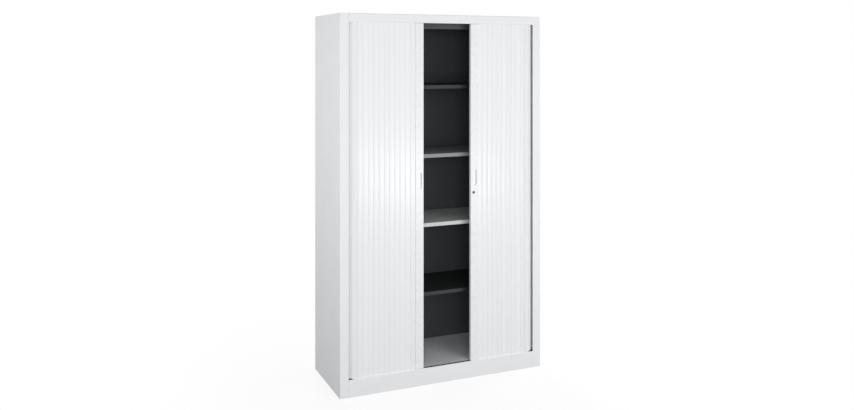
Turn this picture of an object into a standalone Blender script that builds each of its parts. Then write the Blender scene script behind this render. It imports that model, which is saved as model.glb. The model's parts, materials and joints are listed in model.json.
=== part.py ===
"""Roller shutter cabinet, free standing, at full size in metres with +Z up.

The front faces -Y and the width runs along X. The origin is on the floor, under the middle of the cabinet.
Two slatted curtains run in tracks across the front, round the front corners and back along the sides.
"""

import math

import bmesh
import bpy

# Overall size
WIDTH = 1.200
DEPTH = 0.430
HEIGHT = 1.980

# Sheet steel, the outer radius of its folds, and the hairline between pieces that touch
SHEET = 0.0008
BEND = 0.002
GAP = 0.0003

# Front frame
POST_WIDTH = 0.048
HEADER_HEIGHT = 0.0456
PLINTH_HEIGHT = 0.0895
SHUTTER_SETBACK = 0.006
FRAME_FLANGE = 0.020
REAR_FLANGE = 0.030

# Curtains: slats open at the back, joined by a thin web
SLAT_PITCH = 0.030
SLAT_COUNT = 20
SLAT_THICK = 0.008
SLAT_CROWN = 0.0010
SLAT_JOINT = 0.0012
SLAT_WALL = 0.0020
HINGE_WEB = 0.0010
CORNER_RADIUS = 0.070
SIDE_POCKET = 0.015
BACK_POCKET = 0.0077

# Tracks
TRACK_WALL = 0.002
TRACK_FLOOR = 0.0025
GROOVE_FRONT = 0.0004
GROOVE_BACK = 0.0026
BOTTOM_GROOVE = 0.010
TOP_GROOVE = 0.014
BACK_RUN = 0.150

# Stiles, at the places where the two shutters stand at rest
LEFT_EDGE = -0.126
RIGHT_EDGE = 0.158
STILE_WIDTH = 0.047
STILE_DEPTH = 0.018
STILE_WALL = 0.002
STILE_PROUD = 0.0015
STILE_ROUND = 0.0018
STILE_CLEAR = 0.0008
STILE_MARGIN = 0.016

# Grips
GRIP_HEIGHT = 1.093
GRIP_WIDE = 0.030
GRIP_TALL = 0.086
GRIP_ROUND = 0.012
GRIP_RIM = 0.002
GRIP_PROUD = 0.0008
GRIP_WALL = 0.0015
GRIP_DEEP = 0.011

# Glides that carry the stiles in the tracks
GLIDE_LENGTH = 0.040
GLIDE_PLUG = 0.025

# Lock
LOCK_BELOW_GRIP = 0.037
LOCK_INSET = 0.018
LOCK_FACE = 0.0095
LOCK_BARREL = 0.008
LOCK_PLUG = 0.0055
LOCK_PROUD = 0.0014
LOCK_STUB = 0.003
KEY_WIDE = 0.0020
KEY_TALL = 0.0070
KEY_DEEP = 0.006
MEETING_GAP = 0.0005
HOOK_THICK = 0.003
HOOK_REACH = 0.034
HOOK_HALF = 0.005
HOOK_BARB_WIDE = 0.008
HOOK_BARB_TALL = 0.009
KEEPER_WALL = 0.004
KEEPER_TALL = 0.020
KEEPER_PLATE = 0.002
KEEPER_FOOT = 0.010

# Shelves, their clips and the slots that hold them
SHELF_FRONT = 0.0605
SHELF_LIP = 0.021
SHELF_RETURN = 0.012
SHELF_CLEAR = 0.003
SHELF_COUNT = 4
FIRST_SHELF = 0.4745
SLOT_PITCH = 0.0625
SLOTS_PER_SHELF = 6
SLOT_TALL = 0.004
SLOT_MARGIN = 0.040
CLIP_INSET = 0.020
CLIP_WIDE = 0.012
CLIP_SHEET = 0.0015
CLIP_REACH = 0.016
CLIP_LEG = 0.014
CLIP_HOOK = 0.006

# File rails under the ceiling
FILE_INSET = 0.0043
FILE_DROP = 0.045
FILE_LIP = 0.010
FILE_FLANGE = 0.015
FILE_SHEET = 0.0015

# Foot rails and levelling feet inside the plinth
RAIL_HEIGHT = 0.032
RAIL_LEG = 0.030
RAIL_WIDE = 0.060
RAIL_SHEET = 0.002
FOOT_INSET = 0.045
FOOT_RADIUS = 0.020
FOOT_STEM = 0.005
STEM_CHAMFER = 0.001
FOOT_PAD = 0.008
PAD_SLOPE = 0.003
FOOT_TOP = 0.058
FOOT_LIFT = 0.001
NUT_RADIUS = 0.010
NUT_TALL = 0.008

# Round shapes
ARC_STEPS = 8
FOLD_STEPS = 4
TURN_STEPS = 24
CUT_PAST = 0.004

# Faces and levels that the pieces share
HALF = WIDTH / 2
FRONT = -DEPTH / 2
BACK = DEPTH / 2
ROOT2 = math.sqrt(2)
curtain_front = FRONT + SHUTTER_SETBACK
curtain_side = HALF - SHEET - SIDE_POCKET
back_sheet = BACK - SHEET - GAP
curtain_back = back_sheet - SHEET - BACK_POCKET
arc_x = curtain_side - CORNER_RADIUS
arc_front = curtain_front + CORNER_RADIUS
arc_back = curtain_back - CORNER_RADIUS
track_out = GROOVE_FRONT + TRACK_WALL
track_in = SLAT_THICK + GROOVE_BACK + TRACK_WALL
panel_front = curtain_front - track_out
panel_back = back_sheet - SHEET - GAP
frame_lip = SHUTTER_SETBACK - track_out - GAP
rail_lip = SHUTTER_SETBACK - GROOVE_FRONT
opening_half = HALF - POST_WIDTH
deck = PLINTH_HEIGHT
base_top = deck - BOTTOM_GROOVE - TRACK_FLOOR - GAP
soffit = HEIGHT - HEADER_HEIGHT
ceiling_low = soffit + TOP_GROOVE + TRACK_FLOOR + GAP
under_top = HEIGHT - SHEET - GAP
liner_out = curtain_side - track_in - GAP
liner_in = liner_out - SHEET
back_liner_face = curtain_back - track_in - GAP
stile_front = curtain_front - STILE_PROUD
stile_back = stile_front + STILE_DEPTH
lock_x = RIGHT_EDGE + LOCK_INSET
lock_height = GRIP_HEIGHT - GRIP_TALL / 2 - GRIP_RIM - LOCK_BELOW_GRIP
lock_face_y = stile_front - LOCK_PROUD
hook_y = stile_back + KEEPER_PLATE + 2 * GAP + LOCK_PROUD


def cleared_collection(name):
    """An empty collection of that name, linked to the scene."""
    made = bpy.data.collections.new(name)
    bpy.context.scene.collection.children.link(made)
    return made


def finish(name, colour, roughness, metallic=0.0):
    """A plain Principled material."""
    made = bpy.data.materials.new(name)
    made.use_nodes = True
    shader = made.node_tree.nodes["Principled BSDF"]
    shader.inputs["Base Color"].default_value = (*colour, 1.0)
    shader.inputs["Roughness"].default_value = roughness
    shader.inputs["Metallic"].default_value = metallic
    return made


for old in list(bpy.data.objects):
    bpy.data.objects.remove(old, do_unlink=True)

parts = cleared_collection("roller_shutter_cabinet")
cutters = cleared_collection("cutters")

WHITE_STEEL = finish("white_powder_coat", (0.83, 0.83, 0.84), 0.42)
DARK_STEEL = finish("anthracite_powder_coat", (0.045, 0.047, 0.050), 0.50)
GREY_STEEL = finish("light_grey_powder_coat", (0.62, 0.63, 0.64), 0.45)
MID_STEEL = finish("mid_grey_powder_coat", (0.31, 0.32, 0.33), 0.45)
ZINC = finish("zinc_plated_steel", (0.62, 0.63, 0.64), 0.35, 1.0)
WHITE_SLAT = finish("white_polypropylene", (0.85, 0.85, 0.86), 0.45)
WHITE_STILE = finish("white_abs", (0.85, 0.85, 0.86), 0.38)
BLACK_PLASTIC = finish("black_polyamide", (0.015, 0.015, 0.016), 0.45)
NICKEL = finish("nickel_plated_zinc", (0.70, 0.69, 0.66), 0.22, 1.0)
BLACK_RUBBER = finish("black_rubber", (0.020, 0.020, 0.020), 0.80)

# The way an outline's own axes lie: in plan, across the width, or along the depth
PLANES = {
    "plan": (0.0, 0.0, 0.0),
    "side": (math.pi / 2, 0.0, math.pi / 2),
    "front": (math.pi / 2, 0.0, 0.0),
}


def counterclockwise(loop):
    """The loop's points, turned round if they run clockwise."""
    turned = sum(a[0] * b[1] - b[0] * a[1] for a, b in zip(loop, loop[1:] + loop[:1]))
    return loop if turned > 0 else loop[::-1]


def outline(name, loops, low, high, paint, plane="plan", at=(0.0, 0.0, 0.0)):
    """A flat outline, with any holes, extruded from low to high along the plane's own normal."""
    curve = bpy.data.curves.new(name, "CURVE")
    curve.dimensions = "2D"
    curve.fill_mode = "BOTH"
    curve.extrude = (high - low) / 2
    for loop in loops:
        loop = counterclockwise(loop)
        spline = curve.splines.new("POLY")
        spline.points.add(len(loop) - 1)
        spline.use_cyclic_u = True
        for point, (u, v) in zip(spline.points, loop):
            point.co = (u, v, 0.0, 1.0)
    curve.materials.append(paint)
    made = bpy.data.objects.new(name, curve)
    parts.objects.link(made)
    middle = (high + low) / 2
    normal = {"plan": (0, 0, 1), "side": (1, 0, 0), "front": (0, 1, 0)}[plane]
    made.rotation_euler = PLANES[plane]
    made.location = [a + n * middle for a, n in zip(at, normal)]
    return made


def as_mesh(item):
    """The same object as a closed mesh, ready to be cut or joined."""
    bpy.context.view_layer.update()
    graph = bpy.context.evaluated_depsgraph_get()
    data = bpy.data.meshes.new_from_object(item.evaluated_get(graph))
    shape = bmesh.new()
    shape.from_mesh(data)
    bmesh.ops.remove_doubles(shape, verts=shape.verts, dist=1e-6)
    bmesh.ops.recalc_face_normals(shape, faces=shape.faces)
    shape.to_mesh(data)
    shape.free()
    name = item.name
    place = item.matrix_world.copy()
    bpy.data.objects.remove(item, do_unlink=True)
    data.name = name
    made = bpy.data.objects.new(name, data)
    made.matrix_world = place
    parts.objects.link(made)
    return made


def box(name, low, high, paint):
    """A box between two corners."""
    shape = bmesh.new()
    bmesh.ops.create_cube(shape, size=1.0)
    size = [h - l for l, h in zip(low, high)]
    bmesh.ops.scale(shape, vec=size, verts=shape.verts)
    data = bpy.data.meshes.new(name)
    shape.to_mesh(data)
    shape.free()
    data.materials.append(paint)
    made = bpy.data.objects.new(name, data)
    made.location = [(h + l) / 2 for l, h in zip(low, high)]
    parts.objects.link(made)
    return made


def turned(name, profile, paint, at, plane="plan", ring=False):
    """A profile of (radius, height) points turned about the plane's normal through at."""
    shape = bmesh.new()
    points = [shape.verts.new((r, 0.0, h)) for r, h in profile]
    pairs = list(zip(points, points[1:]))
    if ring:
        pairs.append((points[-1], points[0]))
    for a, b in pairs:
        shape.edges.new((a, b))
    data = bpy.data.meshes.new(name)
    shape.to_mesh(data)
    shape.free()
    data.materials.append(paint)
    made = bpy.data.objects.new(name, data)
    made.location = at
    made.rotation_euler = PLANES[plane]
    screw = made.modifiers.new("turn", "SCREW")
    screw.steps = screw.render_steps = TURN_STEPS
    screw.use_merge_vertices = True
    screw.merge_threshold = 0.00005
    screw.use_smooth_shade = True
    parts.objects.link(made)
    return made


def as_cutter(item):
    """Moves a shape to the cutters, where it is drawn as wire and left out of the object."""
    if item.type == "CURVE":
        item = as_mesh(item)
    parts.objects.unlink(item)
    cutters.objects.link(item)
    item.hide_render = True
    item.display_type = "WIRE"
    return item


def combine(target, other, operation="DIFFERENCE"):
    """Cuts the other shape out of the target, or joins it on."""
    join = target.modifiers.new(other.name, "BOOLEAN")
    join.operation = operation
    join.object = other
    join.solver = "EXACT"
    return target


def arc(centre, radius, start, end, steps):
    """Points of a circular arc, with angles in degrees."""
    angles = [math.radians(start + (end - start) * i / steps) for i in range(steps + 1)]
    return [(centre[0] + radius * math.cos(a), centre[1] + radius * math.sin(a)) for a in angles]


def rounded_box(width, height, radius, middle=(0.0, 0.0), steps=6):
    """A rectangle with round corners."""
    u, v = width / 2 - radius, height / 2 - radius
    loop = []
    for quarter, (a, b) in enumerate([(u, v), (-u, v), (-u, -v), (u, -v)]):
        centre = (middle[0] + a, middle[1] + b)
        loop += arc(centre, radius, 90 * quarter, 90 * quarter + 90, steps)
    return loop


def rectangle(low_u, low_v, high_u, high_v):
    return [(low_u, low_v), (high_u, low_v), (high_u, high_v), (low_u, high_v)]


def unit(a, b):
    length = math.hypot(b[0] - a[0], b[1] - a[1])
    return ((b[0] - a[0]) / length, (b[1] - a[1]) / length)


def rounded_corners(points, radii):
    """The open line through points with each inner corner replaced by an arc of its radius."""
    line = [points[0]]
    for before, corner, after, radius in zip(points, points[1:], points[2:], radii):
        a, b = unit(corner, before), unit(corner, after)
        half = math.acos(max(-1.0, min(1.0, a[0] * b[0] + a[1] * b[1]))) / 2
        reach = radius / math.tan(half)
        away = radius / math.sin(half)
        middle = unit((0.0, 0.0), (a[0] + b[0], a[1] + b[1]))
        centre = (corner[0] + middle[0] * away, corner[1] + middle[1] * away)
        first = math.atan2(corner[1] + a[1] * reach - centre[1], corner[0] + a[0] * reach - centre[0])
        last = math.atan2(corner[1] + b[1] * reach - centre[1], corner[0] + b[0] * reach - centre[0])
        sweep = (last - first + math.pi) % (2 * math.pi) - math.pi
        line += arc(centre, radius, math.degrees(first), math.degrees(first + sweep), FOLD_STEPS)
    return line + [points[-1]]


def folded(points, thickness=SHEET):
    """The outline of a folded sheet: points run along its outer face, with the metal on their left."""
    ways = [unit(a, b) for a, b in zip(points, points[1:])]
    inner = []
    outer_radii, inner_radii = [], []
    for i, (x, y) in enumerate(points):
        a = ways[max(i - 1, 0)]
        b = ways[min(i, len(ways) - 1)]
        lean = 1 + a[0] * b[0] + a[1] * b[1]
        inner.append((x - (a[1] + b[1]) * thickness / lean, y + (a[0] + b[0]) * thickness / lean))
        if 0 < i < len(points) - 1:
            left = a[0] * b[1] - a[1] * b[0] > 0
            outer_radii.append(BEND if left else max(BEND - thickness, 0.0) + GAP)
            inner_radii.append(max(BEND - thickness, 0.0) + GAP if left else BEND)
    return rounded_corners(points, outer_radii) + rounded_corners(inner, inner_radii)[::-1]


def group(name, at):
    """An empty that the pieces of one moving unit hang on."""
    made = bpy.data.objects.new(name, None)
    made.location = at
    made.empty_display_size = 0.05
    parts.objects.link(made)
    return made


def attach(owner, *items):
    """Hangs pieces on an empty and leaves them where they are."""
    bpy.context.view_layer.update()
    for item in items:
        item.parent = owner
        item.matrix_parent_inverse = owner.matrix_world.inverted()


# Carcass panels
carcass = group("carcass", (0.0, 0.0, 0.0))


def side_panel(name, side):
    """A side folded from one sheet: the front post with its inner lip, the side, and a flange at the back."""
    face = [
        (side * opening_half, FRONT + frame_lip),
        (side * opening_half, FRONT),
        (side * HALF, FRONT),
        (side * HALF, BACK),
        (side * (HALF - REAR_FLANGE), BACK),
    ]
    loop = folded(face if side > 0 else face[::-1])
    return outline(name, [loop], 0.0, under_top, WHITE_STEEL)


def header_rail():
    face = [
        (FRONT + rail_lip, soffit),
        (FRONT, soffit),
        (FRONT, under_top),
        (FRONT + FRAME_FLANGE, under_top),
    ]
    reach = opening_half - GAP
    return outline("header_rail", [folded(face[::-1])], -reach, reach, WHITE_STEEL, "side")


def plinth():
    face = [
        (FRONT + FRAME_FLANGE, 0.0),
        (FRONT, 0.0),
        (FRONT, deck),
        (FRONT + rail_lip, deck),
    ]
    reach = opening_half - GAP
    return outline("plinth", [folded(face[::-1])], -reach, reach, WHITE_STEEL, "side")


def base_panel():
    """The sheet under the tracks, turned down to the floor at the back."""
    face = [(panel_front, base_top), (panel_back, base_top), (panel_back, 0.0)]
    reach = HALF - SHEET - GAP
    return outline("base_panel", [folded(face[::-1])], -reach, reach, WHITE_STEEL, "side")


inner_reach = HALF - SHEET - GAP
back_reach = HALF - BEND - 2 * GAP
top_panel = outline(
    "top_panel", [rounded_box(WIDTH, DEPTH, BEND, steps=FOLD_STEPS)], HEIGHT - SHEET, HEIGHT, WHITE_STEEL
)
back_panel = box(
    "back_panel",
    (-back_reach, back_sheet - SHEET, 0.0),
    (back_reach, back_sheet, under_top),
    WHITE_STEEL,
)
ceiling_panel = box(
    "ceiling_panel",
    (-inner_reach, panel_front, ceiling_low),
    (inner_reach, panel_back, ceiling_low + SHEET),
    DARK_STEEL,
)
attach(
    carcass,
    side_panel("left_side_panel", -1),
    side_panel("right_side_panel", 1),
    header_rail(),
    plinth(),
    base_panel(),
    top_panel,
    back_panel,
    ceiling_panel,
)


# Tracks
def run(inset, start, end):
    """Points of the curtain's path on the right, moved in from the slats' outer face by inset."""
    radius = CORNER_RADIUS - inset
    line = [(start, curtain_front + inset)]
    line += arc((arc_x, arc_front), radius, -90, 0, ARC_STEPS)
    line += arc((arc_x, arc_back), radius, 0, 90, ARC_STEPS)
    return line + [(end, curtain_back - inset)]


def mirrored(line, side):
    return [(side * x, y) for x, y in line]


def track(name, side, low, high, groove_low, groove_high, rebate_low, rebate_high):
    """A grooved track: square outside at the corners, the groove bent round them, and a rebate for the rail's lip."""
    start, end = GAP / 2, arc_x - BACK_RUN
    outside = [
        (start, panel_front),
        (curtain_side + track_out, panel_front),
        (curtain_side + track_out, curtain_back + track_out),
        (end, curtain_back + track_out),
    ]
    body = outside + run(track_in, start, end)[::-1]
    made = as_mesh(outline(name, [mirrored(body, side)], low, high, BLACK_PLASTIC))
    past_start, past_end = start - CUT_PAST, end - CUT_PAST
    groove = run(-GROOVE_FRONT, past_start, past_end)
    groove += run(SLAT_THICK + GROOVE_BACK, past_start, past_end)[::-1]
    cutter = outline(name + "_groove", [mirrored(groove, side)], groove_low, groove_high, BLACK_PLASTIC)
    combine(made, as_cutter(cutter))
    rebate = [
        (past_start, panel_front - CUT_PAST),
        (opening_half, panel_front - CUT_PAST),
        (opening_half, curtain_front),
        (past_start, curtain_front),
    ]
    cutter = outline(name + "_rebate", [mirrored(rebate, side)], rebate_low, rebate_high, BLACK_PLASTIC)
    return combine(made, as_cutter(cutter))


for word, side in (("left", -1), ("right", 1)):
    attach(
        carcass,
        track(
            word + "_bottom_track",
            side,
            base_top + GAP,
            deck,
            base_top + GAP + TRACK_FLOOR,
            deck + CUT_PAST,
            deck - SHEET - GAP,
            deck + CUT_PAST,
        ),
        track(
            word + "_top_track",
            side,
            soffit,
            ceiling_low - GAP,
            soffit - CUT_PAST,
            ceiling_low - GAP - TRACK_FLOOR,
            soffit - CUT_PAST,
            soffit + SHEET + GAP,
        ),
    )


# Liners, floor and shelves
slot_low = FIRST_SHELF - SHEET - GAP - CLIP_SHEET - GAP
liner_low, liner_high = base_top + GAP, ceiling_low - GAP
CLIP_COLUMNS = {"front": arc_front + CLIP_INSET, "rear": arc_back - CLIP_INSET}


def slot_levels():
    """Lower edges of the slots, on one grid that runs through every shelf's clips."""
    below = int((slot_low - deck - SLOT_MARGIN) / SLOT_PITCH)
    above = int((soffit - SLOT_MARGIN - slot_low) / SLOT_PITCH)
    return [slot_low + SLOT_PITCH * i for i in range(-below, above + 1)]


def slot_cutter(name, side, column):
    """One column of slots through a liner."""
    levels = slot_levels()
    wide = CLIP_WIDE / 2 + GAP
    ends = sorted((side * (liner_in - CUT_PAST), side * (liner_out + CUT_PAST)))
    low = (ends[0], column - wide, levels[0])
    high = (ends[1], column + wide, levels[0] + SLOT_TALL)
    made = box(name, low, high, DARK_STEEL)
    row = made.modifiers.new("row", "ARRAY")
    row.count = len(levels)
    row.use_relative_offset = False
    row.use_constant_offset = True
    row.constant_offset_displace = (0.0, 0.0, SLOT_PITCH)
    return as_cutter(made)


def liner(name, side):
    """The upright sheet between the shelves and the curtain's pocket, with two columns of slots."""
    ends = sorted((side * liner_in, side * liner_out))
    made = box(name, (ends[0], arc_front, liner_low), (ends[1], arc_back, liner_high), DARK_STEEL)
    for place, column in CLIP_COLUMNS.items():
        combine(made, slot_cutter(f"{name}_{place}_slots", side, column))
    return made


back_liner_line = [
    (liner_out, arc_back + SHEET),
    (arc_x + SHEET, back_liner_face),
    (-arc_x - SHEET, back_liner_face),
    (-liner_out, arc_back + SHEET),
]
attach(
    carcass,
    liner("left_liner", -1),
    liner("right_liner", 1),
    outline("back_liner", [folded(back_liner_line)], liner_low, liner_high, DARK_STEEL),
)


def corner_sum(clearance):
    """x + y on the slanted line that stays this clear of the back liner's cut corner."""
    return liner_out + arc_back + SHEET - (SHEET + clearance) * ROOT2


def cabinet_floor():
    """The floor between the tracks, with cut corners and two flanges that stand on the base panel."""
    edge = liner_in - GAP
    front_edge = curtain_front + track_in + GAP
    back_edge = back_liner_face - SHEET - GAP
    cut = corner_sum(GAP)
    half_loop = [
        (arc_x, front_edge),
        (edge, arc_front),
        (edge, cut - edge),
        (cut - back_edge, back_edge),
    ]
    loop = half_loop + mirrored(half_loop, -1)[::-1]
    made = as_mesh(outline("cabinet_floor", [loop], deck - SHEET, deck, WHITE_STEEL))
    flange = arc_x - BEND
    for y in (front_edge, back_edge - SHEET):
        leg = box(
            "floor_flange", (-flange, y, base_top + GAP), (flange, y + SHEET, deck - SHEET / 2), WHITE_STEEL
        )
        combine(made, as_cutter(leg), "UNION")
    return made


shelf_front = curtain_front - STILE_PROUD + SHELF_FRONT
shelf_back = back_liner_face - SHEET - SHELF_CLEAR
shelf_edge = liner_in - SHELF_CLEAR


def corner_cutter(side):
    """The wedge that the shelves' rear corners lose to the back liner's cut corners."""
    cut = corner_sum(SHELF_CLEAR)
    wedge = [(cut - BACK, BACK), (HALF, cut - HALF), (HALF, BACK)]
    name = "rear_corner_left" if side < 0 else "rear_corner_right"
    return as_cutter(outline(name, [mirrored(wedge, side)], deck, soffit, DARK_STEEL))


corner_cutters = [corner_cutter(-1), corner_cutter(1)]


def shelf(number, top, paint):
    """A shelf folded from one sheet, with a lip and a return at the front and the back."""
    face = [
        (shelf_front + SHELF_RETURN, top - SHELF_LIP),
        (shelf_front, top - SHELF_LIP),
        (shelf_front, top),
        (shelf_back, top),
        (shelf_back, top - SHELF_LIP),
        (shelf_back - SHELF_RETURN, top - SHELF_LIP),
    ]
    name = f"shelf_{number}"
    made = as_mesh(outline(name, [folded(face[::-1])], -shelf_edge, shelf_edge, paint, "side"))
    for cutter in corner_cutters:
        combine(made, cutter)
    return made


def shelf_clip(name, side, column, top):
    """A bent clip: a ledge under the shelf, a leg on the liner, and a hook through its slot."""
    seat = top - SHEET - GAP
    hook_in = liner_out + GAP
    profile = [
        (liner_in - CLIP_REACH, seat),
        (hook_in + CLIP_SHEET, seat),
        (hook_in + CLIP_SHEET, seat - CLIP_HOOK),
        (hook_in, seat - CLIP_HOOK),
        (hook_in, seat - CLIP_SHEET),
        (liner_in - GAP, seat - CLIP_SHEET),
        (liner_in - GAP, seat - CLIP_LEG),
        (liner_in - GAP - CLIP_SHEET, seat - CLIP_LEG),
        (liner_in - GAP - CLIP_SHEET, seat - CLIP_SHEET),
        (liner_in - CLIP_REACH, seat - CLIP_SHEET),
    ]
    ends = (column - CLIP_WIDE / 2, column + CLIP_WIDE / 2)
    return outline(name, [mirrored(profile, side)], *ends, ZINC, "front")


attach(carcass, cabinet_floor())
SHELF_PAINTS = (DARK_STEEL, GREY_STEEL, MID_STEEL, DARK_STEEL)
for index in range(SHELF_COUNT):
    level = FIRST_SHELF + index * SLOTS_PER_SHELF * SLOT_PITCH
    attach(carcass, shelf(index + 1, level, SHELF_PAINTS[index % len(SHELF_PAINTS)]))
    for word, side in (("left", -1), ("right", 1)):
        for place, column in CLIP_COLUMNS.items():
            attach(carcass, shelf_clip(f"shelf_{index + 1}_clip_{word}_{place}", side, column, level))


def file_rail(name, web, way):
    """A rail folded like a J, hung under the ceiling, whose lip the files' hooks lie on."""
    top = ceiling_low - GAP
    low = top - FILE_DROP
    face = [
        (web + way * FILE_LIP, low + FILE_LIP),
        (web + way * FILE_LIP, low),
        (web, low),
        (web, top),
        (web + way * FILE_FLANGE, top),
    ]
    loop = folded(face if way < 0 else face[::-1], FILE_SHEET)
    reach = arc_x - SHELF_CLEAR
    return outline(name, [loop], -reach, reach, DARK_STEEL, "side")


attach(
    carcass,
    file_rail("file_rail_front", shelf_front + FILE_INSET, 1),
    file_rail("file_rail_rear", shelf_back - FILE_INSET, -1),
)


# Foot rails and levelling feet
FOOT_ROWS = {"front": panel_front + FOOT_INSET, "rear": panel_back - FOOT_INSET}
hexagon = [math.radians(60 * i) for i in range(6)]
foot_x = HALF - SHEET - RAIL_WIDE / 2


def foot_rail(name, side):
    """An angle along the side panel's foot, with a nut welded under it for each levelling foot."""
    wall = HALF - SHEET - GAP
    angle = [
        (wall, RAIL_HEIGHT - RAIL_SHEET),
        (wall, RAIL_HEIGHT + RAIL_LEG),
        (wall - RAIL_SHEET, RAIL_HEIGHT + RAIL_LEG),
        (wall - RAIL_SHEET, RAIL_HEIGHT),
        (wall - RAIL_WIDE, RAIL_HEIGHT),
        (wall - RAIL_WIDE, RAIL_HEIGHT - RAIL_SHEET),
    ]
    ends = (panel_front + GAP, panel_back - SHEET - GAP)
    made = as_mesh(outline(name, [mirrored(angle, side)], *ends, ZINC, "front"))
    for y in FOOT_ROWS.values():
        at = (side * foot_x, y, 0.0)
        nut = [(NUT_RADIUS * math.cos(a), NUT_RADIUS * math.sin(a)) for a in hexagon]
        low = RAIL_HEIGHT - RAIL_SHEET - NUT_TALL
        boss = outline("foot_nut", [nut], low, RAIL_HEIGHT - RAIL_SHEET / 2, ZINC, at=at)
        combine(made, as_cutter(boss), "UNION")
        bore = outline(
            "foot_bore",
            [arc((0.0, 0.0), FOOT_STEM + GAP, 0, 360 - 360 / TURN_STEPS, TURN_STEPS - 1)],
            low - CUT_PAST,
            RAIL_HEIGHT + CUT_PAST,
            ZINC,
            at=at,
        )
        combine(made, as_cutter(bore))
    return made


def levelling_foot(name, x, y):
    """A screw stem on a round pad, turned about its own axis."""
    owner = group(name + "_axis", (x, y, 0.0))
    low = FOOT_LIFT
    profile = [
        (0.0, FOOT_TOP),
        (FOOT_STEM - STEM_CHAMFER, FOOT_TOP),
        (FOOT_STEM, FOOT_TOP - STEM_CHAMFER),
        (FOOT_STEM, low + FOOT_PAD),
        (FOOT_RADIUS - PAD_SLOPE, low + FOOT_PAD),
        (FOOT_RADIUS, low + FOOT_PAD / 2),
        (FOOT_RADIUS, low),
        (0.0, low),
    ]
    made = turned(name, profile, BLACK_RUBBER, (x, y, 0.0))
    attach(owner, made)


for word, side in (("left", -1), ("right", 1)):
    attach(carcass, foot_rail(word + "_foot_rail", side))
    for place, y in FOOT_ROWS.items():
        levelling_foot(f"{place}_{word}_foot", side * foot_x, y)


# Shutters
def hinge_point(distance, start):
    """A point of the slats' back line on the right, at that distance from the stile."""
    radius = CORNER_RADIUS - SLAT_THICK
    turn = radius * math.pi / 2
    flat, deep = arc_x - start, arc_back - arc_front
    if distance < flat:
        return (start + distance, curtain_front + SLAT_THICK)
    distance -= flat
    if distance < turn:
        a = distance / radius
        return (arc_x + radius * math.sin(a), arc_front - radius * math.cos(a))
    distance -= turn
    if distance < deep:
        return (arc_x + radius, arc_front + distance)
    distance -= deep
    if distance < turn:
        a = distance / radius
        return (arc_x + radius * math.cos(a), arc_back + radius * math.sin(a))
    return (arc_x - (distance - turn), curtain_back - SLAT_THICK)


def slat_front(a, b):
    """The front of one slat whose back runs from a to b: crowned, with a groove left at each end."""
    way = unit(a, b)
    out = (way[1], -way[0])
    chord = math.hypot(b[0] - a[0], b[1] - a[1])
    first, last = SLAT_JOINT / 2, chord - SLAT_JOINT / 2
    shape = [(first, HINGE_WEB)]
    for i in range(5):
        share = i / 4
        height = SLAT_THICK - SLAT_CROWN * (2 * share - 1) ** 2
        shape.append((first + (last - first) * share, height))
    shape.append((last, HINGE_WEB))
    return [(a[0] + way[0] * u + out[0] * v, a[1] + way[1] * u + out[1] * v) for u, v in shape]


def slat_back(a, b):
    """The back of the same slat, from b to a, with its hollow."""
    way = unit(a, b)
    out = (way[1], -way[0])
    chord = math.hypot(b[0] - a[0], b[1] - a[1])
    rib = SLAT_JOINT / 2 + SLAT_WALL
    deep = SLAT_THICK - SLAT_CROWN - SLAT_WALL
    shape = [(chord, 0.0), (chord - rib, 0.0), (chord - rib, deep), (rib, deep), (rib, 0.0)]
    return [(a[0] + way[0] * u + out[0] * v, a[1] + way[1] * u + out[1] * v) for u, v in shape]


def curtain(name, side, start):
    """A row of slats from the stile's outer edge, round the corner and along the side."""
    hinges = [hinge_point(SLAT_PITCH * i, start) for i in range(SLAT_COUNT + 1)]
    slats = list(zip(hinges, hinges[1:]))
    loop = []
    for a, b in slats:
        loop += slat_front(a, b)
    for a, b in slats[::-1]:
        loop += slat_back(a, b)
    loop.append(hinges[0])
    low, high = deck - BOTTOM_GROOVE + GAP, soffit + BOTTOM_GROOVE - GAP
    return outline(name, [mirrored(loop, side)], low, high, WHITE_SLAT)


def stile(name, side, edge, low, high):
    """One length of a hollow strip with round front edges."""
    inner, outer = edge, edge + side * STILE_WIDTH
    middle = ((inner + outer) / 2, (stile_front + stile_back) / 2)
    shell = rounded_box(STILE_WIDTH, STILE_DEPTH, STILE_ROUND, middle, FOLD_STEPS)
    hollow = rounded_box(
        STILE_WIDTH - 2 * STILE_WALL, STILE_DEPTH - 2 * STILE_WALL, STILE_ROUND / 2, middle, FOLD_STEPS
    )
    return as_mesh(outline(name, [shell, hollow], low, high, WHITE_STILE))


def grip(name, side, edge, low, high):
    """A moulded length of the stile with a rimmed cup sunk in its front."""
    at = (edge + side * STILE_WIDTH / 2, 0.0, GRIP_HEIGHT)
    rim = rounded_box(GRIP_WIDE + 2 * GRIP_RIM, GRIP_TALL + 2 * GRIP_RIM, GRIP_ROUND + GRIP_RIM)
    cup = rounded_box(GRIP_WIDE, GRIP_TALL, GRIP_ROUND)
    well = rounded_box(GRIP_WIDE - 2 * GRIP_WALL, GRIP_TALL - 2 * GRIP_WALL, GRIP_ROUND - GRIP_WALL)
    face, depth = stile_front - GRIP_PROUD, stile_front + GRIP_DEEP
    inside = stile_front + STILE_WALL / 2
    made = stile(name, side, edge, low, high)
    border = outline(name + "_border", [rim], face, inside, WHITE_STILE, "front", at)
    combine(made, as_cutter(border), "UNION")
    bowl = outline(name + "_bowl", [cup], inside - STILE_WALL / 4, depth, WHITE_STILE, "front", at)
    combine(made, as_cutter(bowl), "UNION")
    hollow = outline(name + "_well", [well], face - CUT_PAST, depth - GRIP_WALL, WHITE_STILE, "front", at)
    return combine(made, as_cutter(hollow))


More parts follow.
